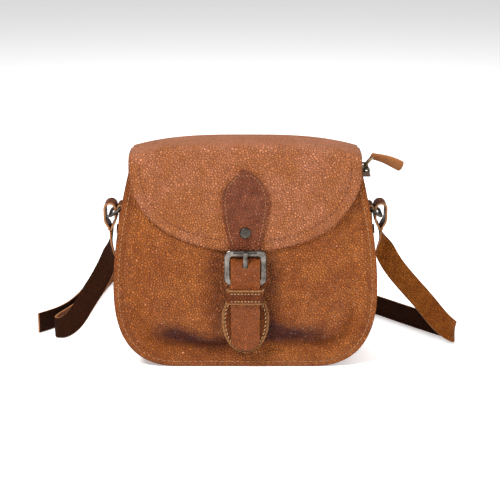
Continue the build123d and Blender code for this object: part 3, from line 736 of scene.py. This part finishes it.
def make_base_tab():
    """Pear-shaped tab, folded forward round the buckle's hinge bar, with a slot for the prong."""
    z = np.concatenate([15.6 + 6 * np.linspace(0.03, 1, 14) ** 2, np.arange(22.6, 80.5, 1.0)])
    back = np.stack([np.full_like(z, -42.75), z], axis=1)
    turn = np.linspace(0, pi, 16)
    fold = np.stack([-45.1 + 2.35 * np.cos(turn), 81 + 2.35 * np.sin(turn)], axis=1)
    front = np.stack([np.full(19, -47.45), np.linspace(80, 62, 19)], axis=1)
    path = np.vstack([back, fold, front])
    half = np.concatenate([pear_half(z), np.full(len(fold) + len(front), 12.2)])
    u = np.concatenate([np.linspace(-1, -0.22, 13), [0.0], np.linspace(0.22, 1, 13)])
    x = half[:, None] * u
    points = grid_of(x, path[:, :1], path[:, 1:])
    keep = np.ones(x.shape, bool)
    keep[path[:, 1] > 76, 12:14] = False
    rim = half[:, None] - np.abs(x)
    rim[:len(z)] = np.minimum(rim[:len(z)], (z[:, None] - 15.6) * 1.2)
    tone_and_painted_shade = 0.95 * np.exp(-(np.maximum(rim, 0) / np.where(x < 0, 1.9, 1.2)) ** 2)
    piece = grid_mesh("base_tab_leather", points, [material("tab"), material("pale_edge")], (0, -1, 0),
                      TAB_THICK, offset=0.0, keep=keep, tone_and_painted_shade=tone_and_painted_shade)
    finish_piece(piece, "closure", ["base_tab"])
    z = np.linspace(18.8, 74, 160)
    right = grid_of(pear_half(z, 3.0), -43.5, z)
    points = np.vstack([right[::-1], right * (-1, 1, 1)])
    stitches = stitch_mesh("tab_stitches", [points], -1, material("cream_thread"), 3.6, 2.7, 0.75, slant=0.45)
    finish_piece(stitches, "closure", ["tab_thread"])


def make_keeper():
    """Keeper band round the tab and strap, with two rows of light stitches on its face."""
    turn = np.linspace(0, 2 * pi, 72, endpoint=False)
    wave = round_square(turn, 5.0)
    ring_x, ring_y = 15.5 * wave * np.cos(turn), -48.4 + 2.95 * wave * np.sin(turn)
    z = 68.7 + 6.3 * np.sin(np.linspace(-pi / 2, pi / 2, 20))
    swell = 1 + 0.012 * np.sin((z - 62.4) / 12.6 * pi)
    points = grid_of(ring_x * swell[:, None], ring_y, z[:, None])
    tone_and_painted_shade = np.exp(-((z - 62.4) / 1.1) ** 2) + np.exp(-((75.0 - z) / 1.1) ** 2)
    piece = grid_mesh("keeper_band", points, [material("tab"), material("pale_edge")], (0, 0, 0), TAB_THICK,
                      offset=0.0, around=True, tone_and_painted_shade=tone_and_painted_shade[:, None])
    finish_piece(piece, "closure", ["keeper_loop"])
    runs = [grid_of(np.linspace(-13.2, 13.2, 40), -52.1, row_z) for row_z in (65.3, 72.1)]
    stitches = stitch_mesh("keeper_stitches", runs, -1, material("cream_thread"), 2.7, 1.9, 0.75)
    finish_piece(stitches, "closure", ["keeper_thread"])


def eye_points(centre_x, centre_z, radius, start, end, count):
    """Arc round a point, between two angles in degrees, as x and z."""
    turn = np.radians(np.linspace(start, end, count))
    return np.stack([centre_x + radius * np.cos(turn), centre_z + radius * np.sin(turn)], axis=1)


def make_sides():
    """Ring tabs on the gusset and the strap's sewn end loops in the rings."""
    for sign, name in ((1, "right"), (-1, "left")):
        eye = eye_points(109.2, 137, 2.8, 250, -70, 40)
        path = resample(np.vstack([[(110.35, 99.2)], eye, [(112.3, 99.2)]]), 90)
        points = grid_of(sign * path[:, :1], np.linspace(-9.3, 9.3, 14), path[:, 1:])
        tab = grid_mesh(f"ring_tab_{name}_leather", points, [material("tab"), material("edge")], (0, 0, 1),
                        1.6, offset=0.0)
        finish_piece(tab, "bag", [f"ring_tab_{name}"])
        eye = eye_points(RING_X, 136.85, 4.75, 180, 0, 30)
        corners = [(117.75, 117.2), (117.75, 119.5), (114.05, 125.5), (114.05, 136)]
        left_leg = rounded(corners, [1.5, 3], 30)
        right_leg = left_leg[::-1] * (-1, 1) + (2 * RING_X, 0)
        path = resample(np.vstack([left_leg, eye, right_leg]), 120)
        points = grid_of(sign * path[:, :1], np.linspace(-STRAP_WIDTH / 2, STRAP_WIDTH / 2, 14), path[:, 1:])
        loop = grid_mesh(f"strap_loop_{name}_leather", points, [material("tab"), material("strap_edge")],
                         (0, 0, 1), LOOP_THICK, offset=0.0)
        finish_piece(loop, "bag", [f"strap_loop_{name}"])


def route_line(name, route):
    """Points along the smooth spline of a route, in millimetres."""
    data = bpy.data.curves.new(name, "CURVE")
    data.dimensions = "3D"
    spline = data.splines.new("NURBS")
    spline.points.add(len(route) - 1)
    spline.points.foreach_set("co", np.hstack([np.array(route) * MM, np.ones((len(route), 1))]).ravel())
    spline.order_u = 3
    spline.use_endpoint_u = True
    spline.resolution_u = 16
    holder = bpy.data.objects.new(name, data)
    bpy.context.scene.collection.objects.link(holder)
    mesh = bpy.data.meshes.new_from_object(holder)
    points = np.empty(len(mesh.vertices) * 3)
    mesh.vertices.foreach_get("co", points)
    bpy.data.objects.remove(holder)
    bpy.data.curves.remove(data)
    bpy.data.meshes.remove(mesh)
    points = points.reshape(-1, 3) / MM
    steps = np.linalg.norm(np.diff(points, axis=0), axis=1)
    return points[np.concatenate([[True], steps > 1e-4])]


def strap_band(name, route, keep_turn=28.0):
    """A strap along its route: flat to the ring at first, then turned on edge, with two faces."""
    line = route_line(name + "_line", route)
    line = resample(line, int(run_lengths(line)[-1] / 2.0))
    s = run_lengths(line)
    along = unit(np.gradient(line, axis=0))
    upright = square_off(np.tile((0.0, 0.0, 1.0), (len(line), 1)), along)
    turned = smooth(s / keep_turn)[:, None]
    width = square_off(upright * turned + np.array([0.0, 1.0, 0.0]) * (1 - turned), along)
    face = np.cross(width, along)
    half, thin, flat_points = STRAP_WIDTH / 2, STRAP_THICK / 2, 9
    across = np.linspace(-half + 0.7, half - 0.7, flat_points)
    cup = 0.25 * (across / half) ** 2
    right_edge = [(half - 0.2, thin * 0.55), (half, 0), (half - 0.2, -thin * 0.7)]
    left_edge = [(-half + 0.2, -thin * 0.7), (-half, 0), (-half + 0.2, thin * 0.55)]
    section = np.vstack([np.stack([across, thin - cup], axis=1), right_edge,
                         np.stack([across[::-1], -thin - cup], axis=1), left_edge])
    rings = line[:, None] + width[:, None] * section[None, :, :1] + face[:, None] * section[None, :, 1:]
    rings[..., 2] = np.maximum(rings[..., 2], 0.05)
    piece = loft_mesh(name, rings, [material("strap"), material("strap_edge")])
    mark(piece, "side", np.broadcast_to(section[:, 1] > 0, rings.shape[:2]))
    slots = np.zeros((len(line) - 1, len(section)), int)
    slots[:, [flat_points, flat_points + 1, -3, -2]] = 1
    piece.data.polygons.foreach_set("material_index", slots.ravel().tolist() + [1, 1])
    return piece, line, s[-1]


def make_straps():
    """The shoulder strap's long and short stretches and its keeper."""
    piece, line, length = strap_band("long_strap_band", LONG_ROUTE)
    finish_piece(piece, "bag", ["long_strap"])
    keeper_low, keeper_high = node_box("strap_keeper")
    mid, reach = (keeper_low + keeper_high) / 2, (keeper_high - keeper_low) / 2
    turn = np.linspace(0, 2 * pi, 64, endpoint=False)
    wave = round_square(turn, 6)
    x = np.linspace(keeper_low[0], keeper_high[0], 8)
    ring = grid_of(x[:, None], mid[1] + (reach[1] - 0.8) * wave * np.cos(turn),
                   mid[2] + (reach[2] - 0.8) * wave * np.sin(turn))
    band = grid_mesh("strap_keeper_band", ring, [material("tab"), material("strap_edge")], (0, 0, 0), 1.5,
                     offset=0.0, around=True)
    finish_piece(band, "bag", ["strap_keeper"])
    piece, line, length = strap_band("short_strap_band", SHORT_ROUTE)
    finish_piece(piece, "bag", ["short_strap"])


def frame_node(name):
    """The Blender object of a CAD node."""
    return bpy.data.objects[name]


def make_zip():
    """Leather strips over the mouth and the zip's tapes."""
    for sign, name in ((-1, "front"), (1, "back")):
        low, high = node_box(f"top_strip_{name}")
        x, y = np.linspace(low[0], high[0], 90)[:, None], np.linspace(low[1], high[1], 16)
        z = high[2] - 0.25 + 0.2 * np.sin(x / 15) * np.sin(y / 9)
        strip = grid_mesh(f"top_strip_{name}_leather", grid_of(x, y, z), [material("body"), material("edge")],
                          (0, 0, 1), 1.8)
        finish_piece(strip, "bag", [f"top_strip_{name}"])
        low, high = node_box(f"zip_tape_{name}")
        x, y = np.linspace(low[0], high[0], 90)[:, None], np.linspace(low[1], high[1], 10)
        tape = grid_mesh(f"zip_tape_{name}_cloth", grid_of(x, y, high[2]), [material("tape")], (0, 0, 1),
                         0.65, bevel=0)
        finish_piece(tape, "bag", [f"zip_tape_{name}"])


def make_pull():
    """The zip's pull: a strip of leather folded through the link, widening to a rounded end."""
    t = np.linspace(0, 1, 44)
    start, end = np.array([109.6, 0.4, 182.2]), np.array([136.5, -8.6, 174.2])
    line = start + (end - start) * t[:, None]
    line[:, 2] += 1.6 * np.sin(pi * t)
    line[:, 1] -= 1.2 * np.sin(pi * t)
    along = unit(np.gradient(line, axis=0))
    width_dir = square_off(np.array([[0.12, -0.62, 0.78]]), along)
    face = np.cross(width_dir, along)
    half = 3.0 + 3.2 * smooth(t * 1.15)
    half *= np.sqrt(np.clip(1 - ((t - 0.93) / 0.072).clip(0) ** 2, 0.02, 1))
    half *= np.sqrt(np.clip(1 - ((0.05 - t) / 0.055).clip(0) ** 2, 0.1, 1))
    thick = 2.1 - 0.2 * t
    a = np.linspace(0, 2 * pi, 20, endpoint=False)
    wave = round_square(a, 3.4)
    rings = (line[:, None] + width_dir[:, None] * (half[:, None] * (wave * np.cos(a)))[..., None]
             + face[:, None] * (thick[:, None] * (wave * np.sin(a)))[..., None])
    piece = loft_mesh("zip_pull_leather", rings, [material("pull")])
    finish_piece(piece, "zip_pull", ["zip_pull_tab"])


METALS = {
    "silver": ["buckle_frame", "buckle_roller", "buckle_prong"],
    "dark_metal": ["flap_rivet", "ring_rivet_right", "ring_rivet_left", "ring_right", "ring_left",
                   "rivet_washer", "snap_socket", "snap_stud", "strap_buckle_frame", "strap_buckle_prong"],
    "zip_metal": ["zip_teeth_front", "zip_teeth_back", "zip_stops", "zip_slider", "zip_link"],
}


def make_metal():
    """Finishes of the CAD's own metal pieces."""
    for key, names in METALS.items():
        for name in names:
            node = frame_node(name)
            node.data.materials.clear()
            node.data.materials.append(material(key))


# ---------------------------------------------------------------- stage

def make_floor():
    """Pale floor under the bag."""
    mesh = bpy.data.meshes.new("floor")
    reach, below = 6.0, -0.0003
    corners = [(-reach, -reach, below), (reach, -reach, below), (reach, reach, below), (-reach, reach, below)]
    mesh.from_pydata(corners, [], [(0, 1, 2, 3)])
    paper = bpy.data.materials.new("paper")
    paper.use_nodes = True
    shader = paper.node_tree.nodes["Principled BSDF"]
    shader.inputs["Base Color"].default_value = (0.93, 0.93, 0.93, 1)
    shader.inputs["Roughness"].default_value = 0.9
    shader.inputs["Specular IOR Level"].default_value = 0.1
    shader.inputs["Emission Color"].default_value = (1, 1, 1, 1)
    shader.inputs["Emission Strength"].default_value = 0.34
    mesh.materials.append(paper)
    floor = bpy.data.objects.new("floor", mesh)
    bpy.context.scene.collection.objects.link(floor)


def make_light(name, place, aim, size, power):
    """Soft square lamp at a place, turned to a point."""
    data = bpy.data.lights.new(name, "AREA")
    data.size = size
    data.energy = power
    lamp = bpy.data.objects.new(name, data)
    bpy.context.scene.collection.objects.link(lamp)
    lamp.location = place
    lamp.rotation_euler = (Vector(aim) - Vector(place)).to_track_quat("-Z", "Y").to_euler()


def make_stage():
    """Floor, soft lights, plain surroundings and the camera."""
    scene = bpy.context.scene
    settings = scene.sling_bag_stage
    make_floor()
    world = bpy.data.worlds.new("studio")
    world.use_nodes = True
    background = world.node_tree.nodes["Background"]
    background.inputs["Color"].default_value = (1, 1, 1, 1)
    background.inputs["Strength"].default_value = settings.surround
    scene.world = world
    scene.view_settings.view_transform = "Standard"
    make_light("key", (-0.7, -0.75, 1.3), (0, 0, 0.1), 0.5, settings.key)
    make_light("fill", (1.1, -0.7, 0.7), (0, 0, 0.1), 0.6, settings.fill)
    make_light("top", (0.15, 0.6, 1.5), (0, 0.05, 0.05), 1.2, settings.top)
    data = bpy.data.cameras.new("camera")
    data.lens = settings.lens
    data.sensor_width = 36
    camera = bpy.data.objects.new("camera", data)
    scene.collection.objects.link(camera)
    camera.location = (0.004, -1.258, 0.4575)
    camera.rotation_euler = (radians(90) - settings.tilt, 0, 0)
    scene.camera = camera


# ---------------------------------------------------------------- add-on

class SlingBagShape(bpy.types.PropertyGroup):
    """How full the bag is and how its flap hangs."""

    belly: bpy.props.FloatProperty(
        name="Belly", description="How far the front panel stands out in its middle", default=0.0044,
        min=0.0, max=0.006, unit="LENGTH", subtype="DISTANCE")
    crease: bpy.props.FloatProperty(
        name="Crease", description="Depth of the crease above the bottom seam", default=0.0022,
        min=0.0, max=0.003, unit="LENGTH", subtype="DISTANCE")
    droop: bpy.props.FloatProperty(
        name="Droop", description="How far the flap's top corners fall below its middle", default=0.0108,
        min=0.0, max=0.018, unit="LENGTH", subtype="DISTANCE")


class SlingBagStage(bpy.types.PropertyGroup):
    """Camera and light."""

    lens: bpy.props.FloatProperty(
        name="Lens", description="Focal length in millimetres", default=106.0, min=20.0, max=300.0)
    tilt: bpy.props.FloatProperty(
        name="Tilt", description="How far the camera looks down", default=radians(16), subtype="ANGLE",
        unit="ROTATION")
    key: bpy.props.FloatProperty(
        name="Key light", description="Power of the lamp at the left", default=29.0, min=0.0, unit="POWER")
    fill: bpy.props.FloatProperty(
        name="Fill light", description="Power of the lamp at the right", default=8.0, min=0.0, unit="POWER")
    top: bpy.props.FloatProperty(
        name="Top light", description="Power of the lamp above and behind", default=19.0, min=0.0,
        unit="POWER")
    surround: bpy.props.FloatProperty(
        name="Surroundings", description="Brightness of the pale surroundings", default=0.3, min=0.0, max=2.0)


class SLINGBAG_OT_stage(bpy.types.Operator):
    """Make the floor, lights and camera"""
    bl_idname = "slingbag.stage"
    bl_label = "Stage"

    def execute(self, context):
        make_stage()
        return {"FINISHED"}


class SLINGBAG_OT_straps(bpy.types.Operator):
    """Make the shoulder strap's two stretches and its keeper"""
    bl_idname = "slingbag.straps"
    bl_label = "Shoulder strap"

    def execute(self, context):
        make_straps()
        return {"FINISHED"}


class SLINGBAG_OT_panels(bpy.types.Operator):
    """Make the front and back panels and the stitches of their seams"""
    bl_idname = "slingbag.panels"
    bl_label = "Panels"

    def execute(self, context):
        make_panels()
        return {"FINISHED"}


class SLINGBAG_OT_gusset(bpy.types.Operator):
    """Make the gusset between the panels"""
    bl_idname = "slingbag.gusset"
    bl_label = "Gusset"

    def execute(self, context):
        make_gusset()
        return {"FINISHED"}


class SLINGBAG_OT_lining(bpy.types.Operator):
    """Make the cloth lining and its slip pocket"""
    bl_idname = "slingbag.lining"
    bl_label = "Lining"

    def execute(self, context):
        make_lining()
        return {"FINISHED"}


class SLINGBAG_OT_flap(bpy.types.Operator):
    """Make the flap and its edge stitches"""
    bl_idname = "slingbag.flap"
    bl_label = "Flap"

    def execute(self, context):
        make_flap()
        return {"FINISHED"}


class SLINGBAG_OT_closure(bpy.types.Operator):
    """Make the leaf patch with its strap, the base tab and the keeper"""
    bl_idname = "slingbag.closure"
    bl_label = "Closure"

    def execute(self, context):
        make_patch()
        make_base_tab()
        make_keeper()
        return {"FINISHED"}


class SLINGBAG_OT_rings(bpy.types.Operator):
    """Make the ring tabs and the strap's loops in the rings"""
    bl_idname = "slingbag.rings"
    bl_label = "Ring tabs and loops"

    def execute(self, context):
        make_sides()
        return {"FINISHED"}


class SLINGBAG_OT_zip(bpy.types.Operator):
    """Make the strips and tapes over the mouth and the zip's leather pull"""
    bl_idname = "slingbag.zip"
    bl_label = "Zip"

    def execute(self, context):
        make_zip()
        make_pull()
        return {"FINISHED"}


class SLINGBAG_OT_metal(bpy.types.Operator):
    """Give the metal pieces their finishes"""
    bl_idname = "slingbag.metal"
    bl_label = "Metal"

    def execute(self, context):
        make_metal()
        return {"FINISHED"}


class SLINGBAG_PT_panel(bpy.types.Panel):
    """The bag's settings and its makers"""
    bl_idname = "SLINGBAG_PT_panel"
    bl_label = "Sling bag"
    bl_space_type = "VIEW_3D"
    bl_region_type = "UI"
    bl_category = "Sling bag"

    def draw(self, context):
        for group in (context.scene.sling_bag_shape, context.scene.sling_bag_stage):
            box = self.layout.box()
            for name in group.__annotations__:
                box.prop(group, name)
        for operator in OPERATORS:
            self.layout.operator(operator.bl_idname)


OPERATORS = (
    SLINGBAG_OT_stage, SLINGBAG_OT_straps, SLINGBAG_OT_panels, SLINGBAG_OT_gusset, SLINGBAG_OT_lining,
    SLINGBAG_OT_flap, SLINGBAG_OT_closure, SLINGBAG_OT_rings, SLINGBAG_OT_zip, SLINGBAG_OT_metal,
)
CLASSES = (SlingBagShape, SlingBagStage) + OPERATORS + (SLINGBAG_PT_panel,)


def register():
    for cls in CLASSES:
        bpy.utils.register_class(cls)
    bpy.types.Scene.sling_bag_shape = bpy.props.PointerProperty(type=SlingBagShape)
    bpy.types.Scene.sling_bag_stage = bpy.props.PointerProperty(type=SlingBagStage)


def unregister():
    del bpy.types.Scene.sling_bag_stage
    del bpy.types.Scene.sling_bag_shape
    for cls in reversed(CLASSES):
        bpy.utils.unregister_class(cls)


def main():
    """Registers the add-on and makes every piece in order."""
    register()
    bpy.ops.slingbag.stage()
    bpy.ops.slingbag.straps()
    bpy.ops.slingbag.panels()
    bpy.ops.slingbag.gusset()
    bpy.ops.slingbag.lining()
    bpy.ops.slingbag.flap()
    bpy.ops.slingbag.closure()
    bpy.ops.slingbag.rings()
    bpy.ops.slingbag.zip()
    bpy.ops.slingbag.metal()


if __name__ == "__main__":
    main()
